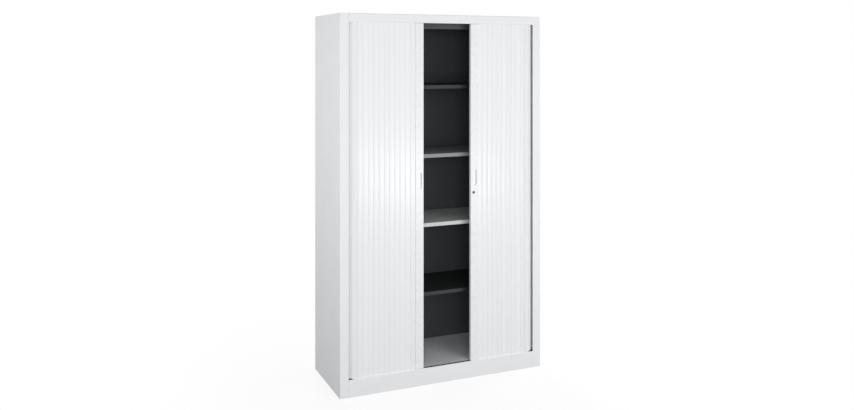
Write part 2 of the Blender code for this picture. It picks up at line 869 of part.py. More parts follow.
def glide(name, x, foot, neck, plug):
    """A runner in the track with a plug that fills the stile's end; neck is the stile's end face."""
    half = GLIDE_LENGTH / 2
    wide = STILE_WIDTH / 2 - STILE_WALL - GAP
    loop = [(x - half, foot), (x + half, foot), (x + half, neck), (x + wide, neck), (x + wide, plug)]
    loop += [(x - wide, plug), (x - wide, neck), (x - half, neck)]
    ends = (stile_front + STILE_WALL + GAP, curtain_front + SLAT_THICK + GROOVE_BACK - 2 * GAP)
    return outline(name, [loop], *ends, BLACK_PLASTIC, "front")


def shutter(word, side, edge):
    """One shutter: the stile in two lengths with the grip between them, its glides, and the curtain behind it."""
    owner = group(word + "_shutter", (edge, curtain_front, 0.0))
    centre = edge + side * STILE_WIDTH / 2
    low, high = deck + STILE_CLEAR, soffit - STILE_CLEAR
    foot = lock_height - LOCK_FACE - STILE_MARGIN
    head = GRIP_HEIGHT + GRIP_TALL / 2 + GRIP_RIM + STILE_MARGIN
    handle = grip(word + "_grip", side, edge, foot, head)
    attach(
        owner,
        handle,
        stile(word + "_stile_lower", side, edge, low, foot - GAP),
        stile(word + "_stile_upper", side, edge, head + GAP, high),
        glide(word + "_bottom_glide", centre, deck - BOTTOM_GROOVE + GAP, low + GAP, low + GLIDE_PLUG),
        glide(word + "_top_glide", centre, soffit + BOTTOM_GROOVE - GAP, high - GAP, high - GLIDE_PLUG),
        curtain(word + "_curtain", side, abs(edge) + STILE_WIDTH + GAP),
    )
    return owner, handle


left_shutter, _ = shutter("left", -1, LEFT_EDGE)
right_shutter, right_handle = shutter("right", 1, RIGHT_EDGE)


# Lock: barrel below the right grip, plug and hook that turn in it, and keeper behind the left grip
def lock_bore():
    loop = arc((0.0, 0.0), LOCK_BARREL + GAP, 0, 360 - 360 / TURN_STEPS, TURN_STEPS - 1)
    ends = (stile_front - CUT_PAST, stile_back + CUT_PAST)
    return as_cutter(
        outline("lock_bore", [loop], *ends, WHITE_STILE, "front", (lock_x, 0.0, lock_height))
    )


def lock_barrel():
    """A sleeve with a thin flange; heights run backwards from the lock's face."""
    profile = [
        (LOCK_PLUG + GAP, 0.0),
        (LOCK_FACE, 0.0),
        (LOCK_FACE, -(LOCK_PROUD - GAP)),
        (LOCK_BARREL, -(LOCK_PROUD - GAP)),
        (LOCK_BARREL, -(hook_y - GAP - lock_face_y)),
        (LOCK_PLUG + GAP, -(hook_y - GAP - lock_face_y)),
    ]
    at = (lock_x, lock_face_y, lock_height)
    return turned("lock_barrel", profile, NICKEL, at, "front", ring=True)


def lock_plug():
    """The turning core: a round face with the key's slot, and a stub behind it for the hook."""
    long = hook_y - GAP - lock_face_y
    end = long + GAP + HOOK_THICK
    profile = [
        (0.0, 0.0),
        (LOCK_PLUG, 0.0),
        (LOCK_PLUG, -long),
        (LOCK_STUB, -long),
        (LOCK_STUB, -end),
        (0.0, -end),
    ]
    made = turned("lock_plug", profile, NICKEL, (lock_x, lock_face_y, lock_height), "front")
    slot = rectangle(-KEY_WIDE / 2, -KEY_TALL / 2, KEY_WIDE / 2, KEY_TALL / 2)
    cutter = outline(
        "key_slot",
        [slot],
        lock_face_y - CUT_PAST,
        lock_face_y + KEY_DEEP,
        NICKEL,
        "front",
        (lock_x, 0.0, lock_height),
    )
    return combine(made, as_cutter(cutter))


def lock_hook():
    """A flat hook on the plug's stub, hanging down when the lock is open, with its barb towards the left."""
    tip = -HOOK_REACH
    barb = HOOK_BARB_TALL + HOOK_HALF - 2 * GAP
    edge = HOOK_HALF - 2 * GAP
    loop = arc((0.0, 0.0), 2 * LOCK_STUB, 0, 180, ARC_STEPS)
    loop += [(-HOOK_HALF - LOCK_STUB / 2, tip / 4)]
    loop += [(-edge, tip + HOOK_BARB_WIDE), (-barb, tip + HOOK_BARB_WIDE), (-barb, tip), (HOOK_HALF, tip)]
    loop += [(HOOK_HALF + LOCK_STUB / 2, tip / 4)]
    hole = arc((0.0, 0.0), LOCK_STUB + GAP, 0, 360 - 360 / TURN_STEPS, TURN_STEPS - 1)
    ends = (hook_y, hook_y + HOOK_THICK)
    return outline("lock_hook", [loop, hole], *ends, ZINC, "front", (lock_x, 0.0, lock_height))


def keeper():
    """An angle on the back of the left grip's length, whose leg the hook catches when both shutters are shut."""
    reach = HOOK_REACH - HOOK_BARB_WIDE - LOCK_INSET
    leg = LEFT_EDGE - reach + 2 * MEETING_GAP + 2 * GAP
    seat = stile_back + GAP
    deep = hook_y + HOOK_THICK + KEEPER_PLATE
    loop = [
        (leg - KEEPER_FOOT, seat),
        (leg + KEEPER_WALL, seat),
        (leg + KEEPER_WALL, deep),
        (leg, deep),
        (leg, seat + KEEPER_PLATE),
        (leg - KEEPER_FOOT, seat + KEEPER_PLATE),
    ]
    low = lock_height + HOOK_HALF
    return outline("lock_keeper", [loop], low, low + KEEPER_TALL, ZINC)


combine(right_handle, lock_bore())
lock_axis = group("lock_axis", (lock_x, lock_face_y, lock_height))
attach(right_shutter, lock_barrel(), lock_axis)
attach(lock_axis, lock_plug(), lock_hook())
attach(left_shutter, keeper())
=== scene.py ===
# %% [markdown]
# A roller shutter cabinet, dressed for a studio picture
#
# The cabinet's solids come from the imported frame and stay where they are. This lesson gives them
# their finishes, builds the slats of the two shutters one by one, and sets up the studio: floor,
# light and camera. Everything is in metres, +Z is up, the front faces -Y and the floor's height
# is zero.

import json
import math

import bmesh
import bpy
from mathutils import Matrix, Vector

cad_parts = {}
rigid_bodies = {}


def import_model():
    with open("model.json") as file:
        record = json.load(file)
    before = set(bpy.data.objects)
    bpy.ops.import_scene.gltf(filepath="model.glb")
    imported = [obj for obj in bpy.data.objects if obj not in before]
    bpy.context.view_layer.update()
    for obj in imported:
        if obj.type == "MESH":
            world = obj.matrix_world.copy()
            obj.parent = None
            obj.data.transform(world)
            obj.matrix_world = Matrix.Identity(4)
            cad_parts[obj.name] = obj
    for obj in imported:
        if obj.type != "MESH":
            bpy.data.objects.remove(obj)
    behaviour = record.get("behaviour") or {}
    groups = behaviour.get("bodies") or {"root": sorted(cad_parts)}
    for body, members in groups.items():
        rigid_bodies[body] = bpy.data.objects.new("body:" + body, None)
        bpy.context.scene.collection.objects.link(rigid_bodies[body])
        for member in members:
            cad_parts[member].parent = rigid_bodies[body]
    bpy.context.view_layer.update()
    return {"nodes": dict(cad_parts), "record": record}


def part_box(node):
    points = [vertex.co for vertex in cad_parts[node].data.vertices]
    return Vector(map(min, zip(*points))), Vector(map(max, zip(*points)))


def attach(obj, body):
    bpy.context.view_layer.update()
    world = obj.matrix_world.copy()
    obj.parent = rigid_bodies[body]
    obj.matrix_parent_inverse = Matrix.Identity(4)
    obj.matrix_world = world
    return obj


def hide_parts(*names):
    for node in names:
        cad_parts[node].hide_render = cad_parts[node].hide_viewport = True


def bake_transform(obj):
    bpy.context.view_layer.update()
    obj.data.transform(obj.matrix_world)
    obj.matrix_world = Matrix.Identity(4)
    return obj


for leftover in list(bpy.data.objects):
    bpy.data.objects.remove(leftover, do_unlink=True)

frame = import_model()
nodes = frame["nodes"]

# %% [markdown]
# Colours are written the way a paint chart or a screen picker gives them, as sRGB hex codes.
# Shaders work with linear light, so one function turns a code into linear values.
#
# Materials are small node trees. One helper adds a node, sets its own options and fills its
# sockets with plain values or with another node's output, so that each recipe below reads from
# top to bottom.

# %% Colour and node helpers
MM = 0.001


def linear(code):
    """Linear red, green, blue and alpha of an sRGB hex code such as "#EFF0F2"."""
    shares = [int(code[i : i + 2], 16) / 255 for i in (1, 3, 5)]
    return [s / 12.92 if s <= 0.04045 else ((s + 0.055) / 1.055) ** 2.4 for s in shares] + [1.0]


def add_node(tree, kind, sockets, **options):
    """Adds a node; sockets maps a socket's name or number to a value or to another node's output.

    A Mix node has the same socket names for each data type, so its colours go by number:
    6 and 7 are the inputs and 2 is the output.
    """
    made = tree.nodes.new(kind)
    for name, value in options.items():
        setattr(made, name, value)
    for name, value in sockets.items():
        if isinstance(value, bpy.types.NodeSocket):
            tree.links.new(value, made.inputs[name])
        else:
            made.inputs[name].default_value = value
    return made


def new_material(name):
    """An empty material, its Principled shader, and object coordinates, which are metres here."""
    made = bpy.data.materials.new(name)
    made.use_nodes = True
    tree = made.node_tree
    shader = tree.nodes["Principled BSDF"]
    place = add_node(tree, "ShaderNodeTexCoord", {}).outputs["Object"]
    return made, tree, shader, place


print("white powder coat in linear light:", [round(c, 3) for c in linear("#EFF0F2")[:3]])

# %% [markdown]
# Powder-coated steel is most of what we see. The powder melts into a tough skin that flows almost
# flat and leaves a faint orange peel. It could be a flat white, but then a large panel looks like
# paper. Two layers of bump do better: the orange peel, and a very slow wave, because thin sheet
# is never quite flat. Roughness drifts a little from place to place, as coating thickness does.
# To the eye the panels are then satin: no sharp reflection, but highlights that swell and fade.
# The outside is white and the inside anthracite, so the opening reads as depth. The four shelves
# differ in tone: two are a deeper graphite, one is mid grey and one is light grey.
#
# A pixel of this picture covers about 5.5 mm of the cabinet. Real orange peel is 2 to 3 mm from
# crest to crest and would vanish, so it is drawn at 11 mm, and the same is done for the other
# fine patterns below.


# %% Powder coats
def powder_coat(name, code, shade_code, roughness):
    """Satin powder coat on sheet steel; shade_code is the tone where the coat is thinnest."""
    made, tree, shader, place = new_material(name)
    peel_size, peel_height = 11 * MM, 0.15 * MM  # really 2.5 mm, drawn coarser to show
    wave_size, wave_height = 260 * MM, 0.6 * MM
    cloud_size = 90 * MM
    drift = 0.05
    peel = add_node(
        tree, "ShaderNodeTexNoise", {"Vector": place, "Scale": 1 / peel_size, "Detail": 2.0}
    )
    wave = add_node(
        tree, "ShaderNodeTexNoise", {"Vector": place, "Scale": 1 / wave_size, "Detail": 1.0}
    )
    cloud = add_node(
        tree, "ShaderNodeTexNoise", {"Vector": place, "Scale": 1 / cloud_size, "Detail": 4.0}
    )
    tint = add_node(tree, "ShaderNodeValToRGB", {"Fac": cloud.outputs["Fac"]})
    tint.color_ramp.elements[0].position = 0.30
    tint.color_ramp.elements[0].color = linear(shade_code)
    tint.color_ramp.elements[1].position = 0.62
    tint.color_ramp.elements[1].color = linear(code)
    rough = add_node(
        tree,
        "ShaderNodeMapRange",
        {"Value": cloud.outputs["Fac"], "To Min": roughness + drift, "To Max": roughness - drift},
    )
    slow = add_node(
        tree,
        "ShaderNodeBump",
        {"Height": wave.outputs["Fac"], "Strength": 0.25, "Distance": wave_height},
    )
    fine = add_node(
        tree,
        "ShaderNodeBump",
        {
            "Height": peel.outputs["Fac"],
            "Normal": slow.outputs["Normal"],
            "Strength": 0.20,
            "Distance": peel_height,
        },
    )
    tree.links.new(tint.outputs["Color"], shader.inputs["Base Color"])
    tree.links.new(rough.outputs["Result"], shader.inputs["Roughness"])
    tree.links.new(fine.outputs["Normal"], shader.inputs["Normal"])
    shader.inputs["IOR"].default_value = 1.50
    return made


white_coat = powder_coat("white_powder_coat_on_steel", "#EFF0F2", "#EDEEF0", 0.42)
anthracite_coat = powder_coat("anthracite_powder_coat_on_steel", "#444648", "#414345", 0.50)
graphite_coat = powder_coat("graphite_powder_coat_on_steel", "#1E2022", "#1B1D1F", 0.50)
grey_coat = powder_coat("light_grey_powder_coat_on_steel", "#CFD1D2", "#CCCECF", 0.45)
mid_grey_coat = powder_coat("mid_grey_powder_coat_on_steel", "#8E9092", "#8B8D8F", 0.45)
for coat in (white_coat, anthracite_coat, graphite_coat, grey_coat, mid_grey_coat):
    print("powder coat:", coat.name)

# %% [markdown]
# The slats are extruded polypropylene, a white plastic that is glossier than the paint, so a soft
# box shows in them as a bright patch with blurred edges. An extrusion carries faint lines along
# its length, left by the die. They are too fine to cut into a mesh, so the bump is a noise pulled
# long in Z, and the eye reads the slats as drawn and upright. Each slat also gets its own small
# step in tone, because slats come from more than one batch.


# %% Extruded plastic
def extruded_plastic(name, code, batch_code, roughness):
    """Extruded plastic with die lines along Z and a small difference from slat to slat."""
    made, tree, shader, place = new_material(name)
    line_size, line_depth = 7 * MM, 0.10 * MM  # really 1 to 2 mm, drawn coarser to show
    line_length = 900 * MM
    grain_size, grain_depth = 14 * MM, 0.10 * MM  # really 3 mm, drawn coarser to show
    drift = 0.04
    stretch = add_node(
        tree,
        "ShaderNodeMapping",
        {"Vector": place, "Scale": (1 / line_size, 1 / line_size, 1 / line_length)},
    )
    lines = add_node(
        tree,
        "ShaderNodeTexNoise",
        {"Vector": stretch.outputs["Vector"], "Scale": 1.0, "Detail": 2.0},
    )
    grain = add_node(
        tree, "ShaderNodeTexNoise", {"Vector": place, "Scale": 1 / grain_size, "Detail": 2.0}
    )
    batch = add_node(tree, "ShaderNodeObjectInfo", {})
    tone = add_node(
        tree,
        "ShaderNodeMix",
        {0: batch.outputs["Random"], 6: linear(code), 7: linear(batch_code)},
        data_type="RGBA",
    )
    rough = add_node(
        tree,
        "ShaderNodeMapRange",
        {"Value": lines.outputs["Fac"], "To Min": roughness - drift, "To Max": roughness + drift},
    )
    drawn = add_node(
        tree,
        "ShaderNodeBump",
        {"Height": lines.outputs["Fac"], "Strength": 0.25, "Distance": line_depth},
    )
    even = add_node(
        tree,
        "ShaderNodeBump",
        {
            "Height": grain.outputs["Fac"],
            "Normal": drawn.outputs["Normal"],
            "Strength": 0.15,
            "Distance": grain_depth,
        },
    )
    tree.links.new(tone.outputs[2], shader.inputs["Base Color"])
    tree.links.new(rough.outputs["Result"], shader.inputs["Roughness"])
    tree.links.new(even.outputs["Normal"], shader.inputs["Normal"])
    shader.inputs["IOR"].default_value = 1.49
    return made


slat_plastic = extruded_plastic("white_polypropylene_extruded", "#F2F3F5", "#EFF0F2", 0.24)
print("extruded:", slat_plastic.name)

# %% [markdown]
# Stiles and grips are ABS, about as glossy as the slats, but with the fine even grain of an eroded
# tool instead of lines, which makes them look closed. Tracks and glides are moulded polyamide,
# black and duller, so they read as a dark line under and over the shutters. One recipe serves
# both: the grain is bump, and a slow noise smears tone and gloss as hands and dust do.


# %% Moulded plastics
def grained_plastic(name, code, worn_code, roughness):
    """Moulded plastic with an even eroded grain; worn_code is its tone where hands rub it."""
    made, tree, shader, place = new_material(name)
    grain_size, grain_depth = 9 * MM, 0.15 * MM  # really about 1 mm, drawn coarser to show
    smear_size = 35 * MM
    drift = 0.06
    grain = add_node(
        tree, "ShaderNodeTexNoise", {"Vector": place, "Scale": 1 / grain_size, "Detail": 3.0}
    )
    smear = add_node(
        tree, "ShaderNodeTexNoise", {"Vector": place, "Scale": 1 / smear_size, "Detail": 3.0}
    )
    tone = add_node(
        tree,
        "ShaderNodeMix",
        {0: smear.outputs["Fac"], 6: linear(code), 7: linear(worn_code)},
        data_type="RGBA",
    )
    rough = add_node(
        tree,
        "ShaderNodeMapRange",
        {"Value": smear.outputs["Fac"], "To Min": roughness - drift, "To Max": roughness + drift},
    )
    eroded = add_node(
        tree,
        "ShaderNodeBump",
        {"Height": grain.outputs["Fac"], "Strength": 0.08, "Distance": grain_depth},
    )
    tree.links.new(tone.outputs[2], shader.inputs["Base Color"])
    tree.links.new(rough.outputs["Result"], shader.inputs["Roughness"])
    tree.links.new(eroded.outputs["Normal"], shader.inputs["Normal"])
    shader.inputs["IOR"].default_value = 1.53
    return made


stile_plastic = grained_plastic("white_abs_grained", "#EFF0F2", "#ECEDEF", 0.28)
track_plastic = grained_plastic("black_polyamide_moulded", "#19191A", "#222223", 0.48)
print("moulded:", stile_plastic.name, track_plastic.name)

# %% [markdown]
# The lock is zinc die-cast with a satin nickel plate, turned on its face, so its bump is rings
# round the lock's own axis. The plug that takes the key is black nickel, darkened to near black
# as painted shade: its tone also stands in for the shadow down in the keyhole. Rings could come
# from a wave texture, but a sine of the distance from the axis puts them exactly on centre. Rough
# as they are, these metals show the white studio as an even sheen and no glint.


# %% Turned nickel
def turned_nickel(name, code, axis_point):
    """Nickel plate on a turned face: fine rings round an axis along Y through axis_point."""
    made, tree, shader, place = new_material(name)
    ring_size, ring_depth = 4 * MM, 0.10 * MM  # really 0.2 mm or less, drawn coarser to show
    centred = add_node(
        tree, "ShaderNodeVectorMath", {0: place, 1: tuple(axis_point)}, operation="SUBTRACT"
    )
    flat = add_node(
        tree,
        "ShaderNodeVectorMath",
        {0: centred.outputs["Vector"], 1: (1.0, 0.0, 1.0)},
        operation="MULTIPLY",
    )
    radius = add_node(tree, "ShaderNodeVectorMath", {0: flat.outputs["Vector"]}, operation="LENGTH")
    turns = add_node(
        tree,
        "ShaderNodeMath",
        {0: radius.outputs["Value"], 1: 2 * math.pi / ring_size},
        operation="MULTIPLY",
    )
    rings = add_node(tree, "ShaderNodeMath", {0: turns.outputs["Value"]}, operation="SINE")
    rough = add_node(
        tree,
        "ShaderNodeMapRange",
        {"Value": rings.outputs["Value"], "From Min": -1.0, "To Min": 0.48, "To Max": 0.58},
    )
    cut = add_node(
        tree,
        "ShaderNodeBump",
        {"Height": rings.outputs["Value"], "Strength": 0.2, "Distance": ring_depth},
    )
    tree.links.new(rough.outputs["Result"], shader.inputs["Roughness"])
    tree.links.new(cut.outputs["Normal"], shader.inputs["Normal"])
    shader.inputs["Base Color"].default_value = linear(code)
    shader.inputs["Metallic"].default_value = 1.0
    return made


lock_low, lock_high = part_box("lock_barrel")
lock_axis = (lock_low + lock_high) / 2
nickel = turned_nickel("nickel_plate_turned", "#BDBCB9", lock_axis)
# the plug's near black is black nickel and painted shade for the keyhole's shadow at once
plug_nickel_and_painted_shade = turned_nickel("black_nickel_and_painted_keyhole_shade", "#161515", lock_axis)
print("lock axis at x, z:", round(lock_axis.x, 4), round(lock_axis.z, 4))

# %% [markdown]
# Clips, hook, keeper and foot rails are steel with a zinc coat, which shows a soft crystal
# pattern, the spangle. Each crystal mirrors a little differently from the next, so a Voronoi
# texture gives cells that differ in tone, with the gloss falling off from each cell's middle.


# %% Zinc coat
def zinc_plate(name, code, dark_code):
    """Zinc plate with a soft spangle."""
    made, tree, shader, place = new_material(name)
    cell_size = 12 * MM  # real spangle on galvanised sheet is 5 to 15 mm
    cells = add_node(tree, "ShaderNodeTexVoronoi", {"Vector": place, "Scale": 1 / cell_size})
    tone = add_node(
        tree,
        "ShaderNodeMix",
        {0: cells.outputs["Color"], 6: linear(code), 7: linear(dark_code)},
        data_type="RGBA",
    )
    rough = add_node(
        tree,
        "ShaderNodeMapRange",
        {"Value": cells.outputs["Distance"], "To Min": 0.30, "To Max": 0.42},
    )
    tree.links.new(tone.outputs[2], shader.inputs["Base Color"])
    tree.links.new(rough.outputs["Result"], shader.inputs["Roughness"])
    shader.inputs["Metallic"].default_value = 1.0
    return made


zinc = zinc_plate("zinc_plate_spangled", "#C9CCCF", "#B4B8BC")
print("zinc coat:", zinc.name)

# %% [markdown]
# A levelling foot is one solid here, but two materials in life: a rubber pad and a zinc-plated
# screw. The height tells them apart, so one material can hold both: below the pad's top it is
# rubber, above it is metal, and a sine along Z cuts the screw's thread.


# %% Levelling feet
def levelling_foot(name, pad_top):
    """Rubber below pad_top, threaded zinc-plated steel above it."""
    made, tree, shader, place = new_material(name)
    rubber, plated_steel = linear("#1C1C1C"), linear("#C4C7CA")
    thread_pitch = 3 * MM  # really 1.5 mm, drawn coarser so that it shows from below
    crumb_size = 6 * MM  # really about 1 mm, drawn coarser for the same reason
    relief_depth = 0.3 * MM
    parts = add_node(tree, "ShaderNodeSeparateXYZ", {"Vector": place})
    is_screw = add_node(
        tree, "ShaderNodeMath", {0: parts.outputs["Z"], 1: pad_top}, operation="GREATER_THAN"
    )
    crumb = add_node(tree, "ShaderNodeTexNoise", {"Vector": place, "Scale": 1 / crumb_size})
    turns = add_node(
        tree,
        "ShaderNodeMath",
        {0: parts.outputs["Z"], 1: 2 * math.pi / thread_pitch},
        operation="MULTIPLY",
    )
    thread = add_node(tree, "ShaderNodeMath", {0: turns.outputs["Value"]}, operation="SINE")
    height = add_node(
        tree,
        "ShaderNodeMix",
        {0: is_screw.outputs["Value"], 2: crumb.outputs["Fac"], 3: thread.outputs["Value"]},
    )
    tone = add_node(
        tree,
        "ShaderNodeMix",
        {0: is_screw.outputs["Value"], 6: rubber, 7: plated_steel},
        data_type="RGBA",
    )
    rough = add_node(
        tree,
        "ShaderNodeMapRange",
        {"Value": is_screw.outputs["Value"], "To Min": 0.80, "To Max": 0.35},
    )
    relief = add_node(
        tree,
        "ShaderNodeBump",
        {"Height": height.outputs[0], "Strength": 0.4, "Distance": relief_depth},
    )
    tree.links.new(tone.outputs[2], shader.inputs["Base Color"])
    tree.links.new(rough.outputs["Result"], shader.inputs["Roughness"])
    tree.links.new(is_screw.outputs["Value"], shader.inputs["Metallic"])
    tree.links.new(relief.outputs["Normal"], shader.inputs["Normal"])
    return made


FOOT_PAD_TOP = 9.05 * MM
foot_finish = levelling_foot("rubber_pad_and_zinc_screw", FOOT_PAD_TOP)

# %% [markdown]
# The record names a material slot for every solid. A table from slot to finish therefore dresses
# all of them in one loop, and no solid can be forgotten. A second table says how far the edges of
# a material are rounded, where a hand could feel it. Sheet steel has its folds already.

# %% Finishes by slot
FINISHES = {
    "white_steel": white_coat,
    "anthracite_steel": anthracite_coat,
    "grey_steel": grey_coat,
    "mid_grey_steel": mid_grey_coat,
    "zinc_steel": zinc,
    "white_slats": slat_plastic,
    "white_plastic": stile_plastic,
    "black_plastic": track_plastic,
    "nickel": nickel,
    "rubber": foot_finish,
}
EDGE_ROUNDING = {
    "zinc_steel": 0.25 * MM,
    "white_plastic": 0.30 * MM,
    "black_plastic": 0.30 * MM,
    "nickel": 0.25 * MM,
    "rubber": 0.50 * MM,
}
print("finishes:", len(FINISHES), "of which", len(EDGE_ROUNDING), "with rounded edges")

# %% [markdown]
# The solids arrive with split corners, so folds would look faceted. Their points aren't to be
# moved, so modifiers do the work, the same for all: a Weld joins the corners, a Bevel rounds the
# edges, and weighted normals keep flats flat beside a fold. Three solids then get a darker finish
# than their slot's: two shelves, and the lock's plug, whose near black is partly painted shade
# for its keyhole.

# %% Dress the solids
SMOOTH_BELOW = math.radians(32)
WELD_REACH = 0.01 * MM
ROUNDING_STEPS = 2


def join_corners(item):
    """Welds the split corners, then shades every face smooth."""
    weld = item.modifiers.new("joined_corners", "WELD")
    weld.merge_threshold = WELD_REACH
    for face in item.data.polygons:
        face.use_smooth = True


def round_edges(item, width):
    """Rounds the sharp edges by width."""
    bevel = item.modifiers.new("rounded_edges", "BEVEL")
    bevel.width = width
    bevel.segments = ROUNDING_STEPS
    bevel.limit_method = "ANGLE"
    bevel.angle_limit = SMOOTH_BELOW
    bevel.use_clamp_overlap = True


def flatten_shading(item):
    """Keeps sharp folds sharp; large faces set the shading, so flats stay flat beside a fold."""
    split = item.modifiers.new("sharp_edges", "EDGE_SPLIT")
    split.split_angle = SMOOTH_BELOW
    split.use_edge_sharp = False
    weight = item.modifiers.new("flat_faces", "WEIGHTED_NORMAL")
    weight.mode = "FACE_AREA"
    weight.weight = 100


slot_of = {part["node"]: part["material_slot"] for part in frame["record"]["subparts"]}
for name, item in nodes.items():
    slot = slot_of[name]
    item.data.materials.clear()
    item.data.materials.append(FINISHES[slot])
    join_corners(item)
    if slot in EDGE_ROUNDING:
        round_edges(item, EDGE_ROUNDING[slot])
    flatten_shading(item)
# the plug's near-black tone is partly painted shade, standing in for the keyhole's shadow
nodes["lock_plug"].data.materials[0] = plug_nickel_and_painted_shade
for name in ("shelf_1", "shelf_4"):
    nodes[name].data.materials[0] = graphite_coat
print("dressed", len(nodes), "solids in", len(set(slot_of.values())), "finishes")

# %% [markdown]
# The shutters are the heart of this cabinet. In the frame each curtain is one solid. Here it
# becomes a row of separate slats, each with a crowned face, rounded shoulders, two legs at the
# back and a tongue that reaches under its neighbour, so that light and shadow fall between them
# as they do on real slats.
#
# The path comes first: straight along the front, a quarter circle round the corner, then straight
# along the side. It is measured on the slats' back line, where the hinges are, and takes its
# places from the curtain's own box.

# %% The path of a curtain
SLAT_PITCH = 30 * MM
SLAT_THICK = 8 * MM
CORNER_RADIUS = 70 * MM
SLAT_COUNT = 20
STILE_GAP = 0.3 * MM


def curtain_path(word, side):
    """The hinge points of one curtain in plan, from its stile outwards."""
    low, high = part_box(word + "_curtain")
    stile_low, stile_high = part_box(word + "_grip")
    start = max(abs(stile_low.x), abs(stile_high.x)) + STILE_GAP
    reach = max(abs(low.x), abs(high.x))
    arc_x, arc_y = reach - CORNER_RADIUS, low.y + CORNER_RADIUS
    radius = CORNER_RADIUS - SLAT_THICK
    turn = radius * math.pi / 2
    hinges = []
    for i in range(SLAT_COUNT + 1):
        along = i * SLAT_PITCH - (arc_x - start)
        if along < 0:
            point = (arc_x + along, low.y + SLAT_THICK)
        elif along < turn:
            angle = along / radius
            point = (arc_x + radius * math.sin(angle), arc_y - radius * math.cos(angle))
        else:
            point = (arc_x + radius, arc_y + along - turn)
        hinges.append(Vector((side * point[0], point[1])))
    return hinges, side * arc_x


left_hinges, left_arc_x = curtain_path("left", -1)
right_hinges, right_arc_x = curtain_path("right", 1)
print("curtains start at", round(left_hinges[0].x, 4), "and", round(right_hinges[0].x, 4))
print("and bend at", round(left_arc_x, 4), "and", round(right_arc_x, 4))

# %% [markdown]
# One slat in section. u runs along the slat from hinge to hinge and v runs outwards from the
# hinge line. The face is a shallow arc, so that each slat catches the light in its own soft band.
# The shoulders are rounded, which leaves a narrow groove between neighbours, and the back is open
# between the two legs. Without more, the groove would be a slit and show the dark inside. The
# tongue on the far edge lies under the next slat's overhang, so the groove has a white bottom and
# stays a soft grey line, also where the curtain bends.

# %% The section of a slat
GROOVE_WIDTH = 0.55 * MM
CROWN = 0.5 * MM
SHOULDER = 0.65 * MM
SKIN = 1.8 * MM
OVERHANG = 2.9 * MM
TONGUE_REACH = 2.6 * MM
TONGUE_LOW, TONGUE_HIGH = 3.9 * MM, 5.1 * MM
FACE_STEPS = 8
SHOULDER_STEPS = 3


def slat_section(chord):
    """The closed outline of a slat, counterclockwise, as (u, v) points."""
    first, last = GROOVE_WIDTH / 2, chord - GROOVE_WIDTH / 2
    edge_v = SLAT_THICK - CROWN
    face = []
    for i in range(FACE_STEPS + 1):
        share = i / FACE_STEPS
        u = last - SHOULDER + (first + 2 * SHOULDER - last) * share
        face.append((u, SLAT_THICK - CROWN * (2 * share - 1) ** 2))
    right, left = [], []
    for i in range(SHOULDER_STEPS):
        angle = math.pi / 2 * i / SHOULDER_STEPS
        across, up = SHOULDER * math.cos(angle), SHOULDER * math.sin(angle)
        right.append((last - SHOULDER + across, edge_v - SHOULDER + up))
        left.append((first + SHOULDER - up, edge_v - SHOULDER + across))
    inside = edge_v - SKIN
    leg = first + OVERHANG
    tip = chord + TONGUE_REACH
    legs = [
        (leg, 0.0),
        (leg + SKIN, 0.0),
        (leg + SKIN, inside),
        (last - SKIN, inside),
        (last - SKIN, 0.0),
        (last, 0.0),
    ]
    tongue = [(last, TONGUE_LOW), (tip, TONGUE_LOW), (tip, TONGUE_HIGH), (last, TONGUE_HIGH)]
    overhang = [(first, inside), (leg, inside)]
    # the left shoulder's first point is the face's last one, so it is skipped
    return legs + tongue + right + face + left[1:] + overhang


print("a slat's section has", len(slat_section(SLAT_PITCH)), "points")

# %% [markdown]
# A slat is its section pushed up between the two tracks. The mesh is made in place, with its
# points in the cabinet's own frame. The slats on the bend stop just above the track, and the one
# before them is cut at a slant, which leaves a small dark corner beside each post, where the black
# track shows.

# %% Build the slats
FOOT_LIFT = 13 * MM


def slat_mesh(name, a, b, side, feet_z, high_z):
    """One slat standing between the hinge points a and b, with its own foot height at each."""
    way = (b - a).normalized()
    out = Vector((way.y, -way.x)) * side
    chord = (b - a).length
    slant = (feet_z[1] - feet_z[0]) / chord
    shape = bmesh.new()
    ring = []
    for u, v in slat_section(chord):
        point = a + way * u + out * v
        ring.append(shape.verts.new((point.x, point.y, feet_z[0] + slant * u)))
    foot = shape.faces.new(ring)
    pushed = bmesh.ops.extrude_face_region(shape, geom=[foot])
    for item in pushed["geom"]:
        if isinstance(item, bmesh.types.BMVert):
            item.co.z = high_z
    bmesh.ops.recalc_face_normals(shape, faces=shape.faces)
    data = bpy.data.meshes.new(name)
    shape.to_mesh(data)
    shape.free()
    data.materials.append(slat_plastic)
    data.shade_smooth()
    data.set_sharp_from_angle(angle=SMOOTH_BELOW)
    made = bpy.data.objects.new(name, data)
    bpy.context.scene.collection.objects.link(made)
    return made


def build_curtain(word, side, hinges, arc_x):
    """All slats of one curtain, each named with its place in the row."""
    low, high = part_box(word + "_curtain")
    feet = [low.z + FOOT_LIFT if abs(hinge.x) > abs(arc_x) else low.z for hinge in hinges]
    row = []
    for i in range(SLAT_COUNT):
        name = f"{word}_slat_{i + 1:02d}"
        row.append(slat_mesh(name, hinges[i], hinges[i + 1], side, feet[i : i + 2], high.z))
    return row


left_slats = build_curtain("left", -1, left_hinges, left_arc_x)
right_slats = build_curtain("right", 1, right_hinges, right_arc_x)
print("slats:", len(left_slats), "left and", len(right_slats), "right")

# %% [markdown]
# When a stile slides, its slats follow round the corner. The frame's joint is a plain slide. Here
# the slats from the start of the corner outwards are hung on the carcass, and those on the front
# run keep the place they were built in.

# %% Hang the corner slats on the carcass


def follow_stile(row, hinges, arc_x):
    """Hangs the slats from the corner outwards on the carcass; the rest keep their place."""
    travel = hinges[0].x - arc_x
    for slat, near, far in zip(row, hinges, hinges[1:]):
        near_share = (near.x - arc_x) / travel
        if near_share <= 0:
            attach(slat, "carcass")
            continue
        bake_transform(slat)


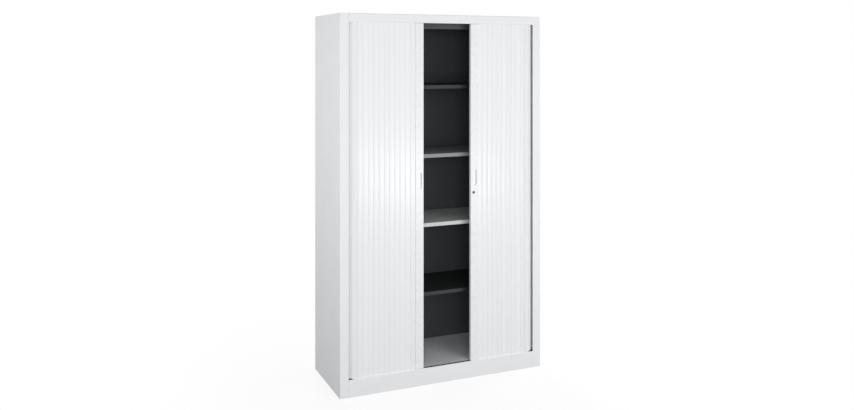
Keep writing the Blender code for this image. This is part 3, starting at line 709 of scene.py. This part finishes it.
follow_stile(left_slats, left_hinges, left_arc_x)
follow_stile(right_slats, right_hinges, right_arc_x)
for word, row in (("left", left_slats), ("right", right_slats)):
    for slat in row:
        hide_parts(word + "_curtain")
print("the slats replace the two plain curtains")

# %% [markdown]
# The studio is plain: a pale floor, a white background and soft light. The background's white
# comes from the world and the floor themselves for rays that come from the camera or from a
# mirror-like surface. The light on the cabinet is set apart from that, at a level where a colour
# shows about as it is written.

# %% World
AMBIENT = 0.34
WHITE = (1.0, 1.0, 1.0, 1.0)


def seen_directly(tree):
    """1 for camera, glossy and transmission rays, 0 for the rays that carry light."""
    path = add_node(tree, "ShaderNodeLightPath", {})
    either = add_node(
        tree,
        "ShaderNodeMath",
        {0: path.outputs["Is Camera Ray"], 1: path.outputs["Is Glossy Ray"]},
        operation="MAXIMUM",
    )
    any_ray = add_node(
        tree,
        "ShaderNodeMath",
        {0: either.outputs["Value"], 1: path.outputs["Is Transmission Ray"]},
        operation="MAXIMUM",
    )
    return any_ray.outputs["Value"]


world = bpy.data.worlds.new("studio")
bpy.context.scene.world = world
world.use_nodes = True
backdrop = world.node_tree.nodes["Background"]
backdrop.inputs["Color"].default_value = WHITE
strength = add_node(
    world.node_tree,
    "ShaderNodeMapRange",
    {"Value": seen_directly(world.node_tree), "To Min": AMBIENT, "To Max": 1.0},
)
world.node_tree.links.new(strength.outputs["Result"], backdrop.inputs["Strength"])
print("ambient light:", AMBIENT, "and white for the camera")

# %% [markdown]
# The floor is pale paper. Seen by the camera it is mostly the same white as the background, with
# a share of real shading near the cabinet, so that the contact shadow stays. The share fades out
# with distance from the cabinet, and no horizon line shows. To the light it is a middle grey,
# which keeps the lower half of the cabinet from being lit too strongly from below.

# %% Floor
FLOOR_SIZE = 24.0
FLOOR_DROP = 0.3 * MM
SHADOW_SHARE = 0.18
SHADOW_REACH = 1.6
PAPER_TO_LIGHT = linear("#686A6B")

floor_paint, floor_tree, matt, floor_place = new_material("pale_paper_floor")
direct = seen_directly(floor_tree)
paper = add_node(
    floor_tree, "ShaderNodeMix", {0: direct, 6: PAPER_TO_LIGHT, 7: WHITE}, data_type="RGBA"
)
floor_tree.links.new(paper.outputs[2], matt.inputs["Base Color"])
matt.inputs["Roughness"].default_value = 0.9
away = add_node(floor_tree, "ShaderNodeVectorMath", {0: floor_place}, operation="LENGTH")
shading = add_node(
    floor_tree,
    "ShaderNodeMapRange",
    {
        "Value": away.outputs["Value"],
        "From Min": 0.5 * SHADOW_REACH,
        "From Max": SHADOW_REACH,
        "To Min": 1.0 - SHADOW_SHARE,
        "To Max": 1.0,
    },
    interpolation_type="SMOOTHSTEP",
)
veil = add_node(
    floor_tree, "ShaderNodeMath", {0: direct, 1: shading.outputs["Result"]}, operation="MULTIPLY"
)
glow = add_node(floor_tree, "ShaderNodeEmission", {"Color": WHITE, "Strength": 1.0})
floor_mix = add_node(
    floor_tree,
    "ShaderNodeMixShader",
    {0: veil.outputs["Value"], 1: matt.outputs["BSDF"], 2: glow.outputs["Emission"]},
)
floor_output = floor_tree.nodes["Material Output"]
floor_tree.links.new(floor_mix.outputs["Shader"], floor_output.inputs["Surface"])

bpy.ops.mesh.primitive_plane_add(size=FLOOR_SIZE, location=(0.0, 0.0, -FLOOR_DROP))
floor = bpy.context.object
floor.name = "studio_floor"
floor.data.materials.append(floor_paint)
print("floor:", FLOOR_SIZE, "m square")

# %% [markdown]
# Soft boxes make the shape readable. The key stands in front, a little to the right and above
# half the cabinet's height, so the front is bright and falls off towards the plinth. It is hidden
# from glossy rays: its light falls on the front, but its large mirror image doesn't. That is left
# to a small low box further right, in the place where the slats of the left shutter mirror it
# towards the camera, and its image is the bright streaks on them.
#
# Another box near the camera looks into the reveals, so that no hard dark line stands beside a
# post. A box on the left that looks up at the side's top gives the side its own slope of tone,
# which drops fastest near the floor. Two more, on the right and behind, keep the cabinet white
# when it is seen from there.

# %% Lights


def soft_box(name, place, target, wide, tall, power):
    """An area light, wide by tall, at place and looking at target."""
    lamp = bpy.data.lights.new(name, "AREA")
    lamp.shape = "RECTANGLE"
    lamp.size = wide
    lamp.size_y = tall
    lamp.energy = power
    made = bpy.data.objects.new(name, lamp)
    made.location = place
    made.rotation_euler = (Vector(target) - Vector(place)).to_track_quat("-Z", "Y").to_euler()
    bpy.context.scene.collection.objects.link(made)
    return made


# name, place, the point it looks at, width and height in metres, power in watts
SOFT_BOXES = (
    ("key_light", (1.1, -3.5, 1.45), (0.0, 0.0, 1.2), 2.4, 1.4, 41.0),
    ("streak_light", (1.5, -3.91, 0.49), (-0.1, -0.21, 1.12), 1.2, 0.42, 18.0),
    ("camera_side_light", (-2.4, -5.4, 1.6), (0.0, 0.0, 1.1), 2.5, 2.5, 100.0),
    ("side_light", (-2.65, -0.4, 1.5), (-0.6, 0.0, 2.2), 1.2, 1.2, 22.0),
    ("right_fill", (3.4, 0.2, 2.2), (0.6, 0.0, 1.1), 2.0, 2.0, 56.0),
    ("back_fill", (0.4, 4.6, 2.0), (0.0, 0.0, 1.1), 1.6, 2.0, 115.0),
)
lamps = {row[0]: soft_box(*row) for row in SOFT_BOXES}
lamps["key_light"].visible_glossy = False
print("lights:", list(lamps))

# %% [markdown]
# The camera stands left of the cabinet and looks level, with a shifted lens, so that upright
# edges stay upright in the picture. Its place and focal length were found by fitting the
# cabinet's own edges to the photograph, which is 854 by 410 pixels. The lens is shifted because
# the horizon lies high in the frame and the cabinet stands right of the lens axis.

# %% Camera
IMAGE_WIDTH, IMAGE_HEIGHT = 854, 410
FOCAL_PIXELS = 788.38
AXIS_COLUMN, HORIZON_ROW = 374.39, 56.73
CAMERA_PLACE = (-1.9148, -4.0355, 1.7546)
CAMERA_YAW = math.radians(-21.487)

lens = bpy.data.cameras.new("camera")
lens.sensor_width = 36.0
lens.lens = FOCAL_PIXELS / IMAGE_WIDTH * lens.sensor_width
lens.shift_x = (IMAGE_WIDTH / 2 - AXIS_COLUMN) / IMAGE_WIDTH
lens.shift_y = (HORIZON_ROW - IMAGE_HEIGHT / 2) / IMAGE_WIDTH
camera = bpy.data.objects.new("camera", lens)
camera.location = CAMERA_PLACE
camera.rotation_euler = (math.pi / 2, 0.0, CAMERA_YAW)
bpy.context.scene.collection.objects.link(camera)
bpy.context.scene.camera = camera
bpy.context.scene.view_settings.view_transform = "Standard"
print("lens:", round(lens.lens, 2), "mm, shift", round(lens.shift_x, 4), round(lens.shift_y, 4))
